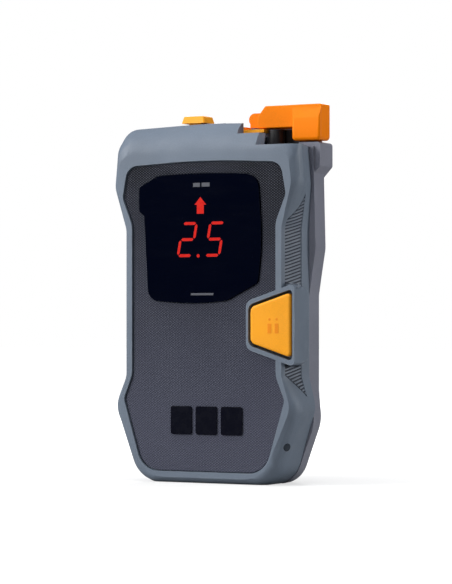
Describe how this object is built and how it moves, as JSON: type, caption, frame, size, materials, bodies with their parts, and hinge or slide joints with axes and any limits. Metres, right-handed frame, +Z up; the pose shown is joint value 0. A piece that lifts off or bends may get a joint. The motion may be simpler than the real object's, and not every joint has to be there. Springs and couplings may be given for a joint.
{
  "type": "avalanche transceiver",
  "caption": "Pocket avalanche transceiver: two-shell moulded case, knurled face with lit display, hinged mode lever, lock slider, option button and battery door.",
  "frame": {"origin": "middle of the flat underside of the case", "axes": "+X to the user's right when facing the display, -Y out of the display, +Z up the case"},
  "size_m": [0.07, 0.0274, 0.1226],
  "materials": {
    "case_plastic": "fine moulded texture",
    "back_plastic": "fine moulded texture",
    "panel_plastic": "knurled",
    "lens_black": "polished",
    "badge_black": "polished",
    "orange_plastic": "satin moulded",
    "black_plastic": "satin",
    "seal_rubber": "matte",
    "adhesive": "matte",
    "led_red": "lit",
    "board_green": "solder mask",
    "ferrite": "sintered",
    "copper": "enamelled winding",
    "steel": "brushed",
    "plated": "nickel plated",
    "brass": "turned",
    "cell_label": "printed sleeve",
    "label_plate": "satin foil",
    "glass_tube": "clear"
  },
  "bodies": {
    "case": {"front_shell": "case_plastic", "back_shell": "back_plastic", "case_gasket": "seal_rubber", "face_panel": "panel_plastic", "face_badge": "badge_black", "display_lens": "lens_black", "lens_adhesive": "adhesive", "digit_segments": "led_red", "direction_arrow": "led_red", "status_light": "black_plastic", "lever_pin": "steel", "friction_washer": "steel", "switch_base": "black_plastic", "lock_spring": "steel", "button_boot": "seal_rubber", "option_switch": "black_plastic", "main_board": "board_green", "display_module": "black_plastic", "display_header": "black_plastic", "processor_chip": "black_plastic", "speaker": "black_plastic", "speaker_gasket": "seal_rubber", "speaker_bracket": "black_plastic", "reed_switch": "glass_tube", "main_ferrite_rod": "ferrite", "main_antenna_coil": "copper", "cross_ferrite_rod": "ferrite", "cross_antenna_coil": "copper", "flat_antenna_coil": "copper", "flat_antenna_core": "ferrite", "battery_tray": "black_plastic", "contact_plates": "plated", "contact_springs": "plated", "cell_links": "plated", "door_insert": "brass", "case_screws": "steel", "back_label": "label_plate", "battery_cell_1": "cell_label", "battery_cell_2": "cell_label", "battery_cell_3": "cell_label"},
    "lever": {"mode_lever": "orange_plastic", "lever_magnet": "plated"},
    "lock": {"lock_slider": "orange_plastic"},
    "button": {"option_button": "orange_plastic"},
    "door": {"battery_door": "back_plastic", "door_gasket": "seal_rubber"},
    "door_screw": {"door_screw": "steel"}
  },
  "joints": [
    {"name": "lever_hinge", "type": "hinge", "parent": "case", "child": "lever", "pos_m": [0.0096, 0.006, 0.1184], "axis": [0, -1, 0], "range_deg": [0, 90]},
    {"name": "lock_slide", "type": "slide", "parent": "case", "child": "lock", "axis": [-1, 0, 0], "range_m": [0, 0.0022], "stiffness_N_per_m": 400, "springref_m": -0.001},
    {"name": "button_press", "type": "slide", "parent": "case", "child": "button", "axis": [0, 1, 0], "range_m": [0, 0.001], "stiffness_N_per_m": 1500, "springref_m": -0.0005},
    {"name": "door_hinge", "type": "hinge", "parent": "case", "child": "door", "pos_m": [0, 0.0133, 0.06415], "axis": [1, 0, 0], "range_deg": [0, 100]},
    {"name": "door_screw_turn", "type": "hinge", "parent": "door", "child": "door_screw", "pos_m": [0, 0.0125, 0.0088], "axis": [0, 1, 0], "range_deg": [0, 720]}
  ]
}
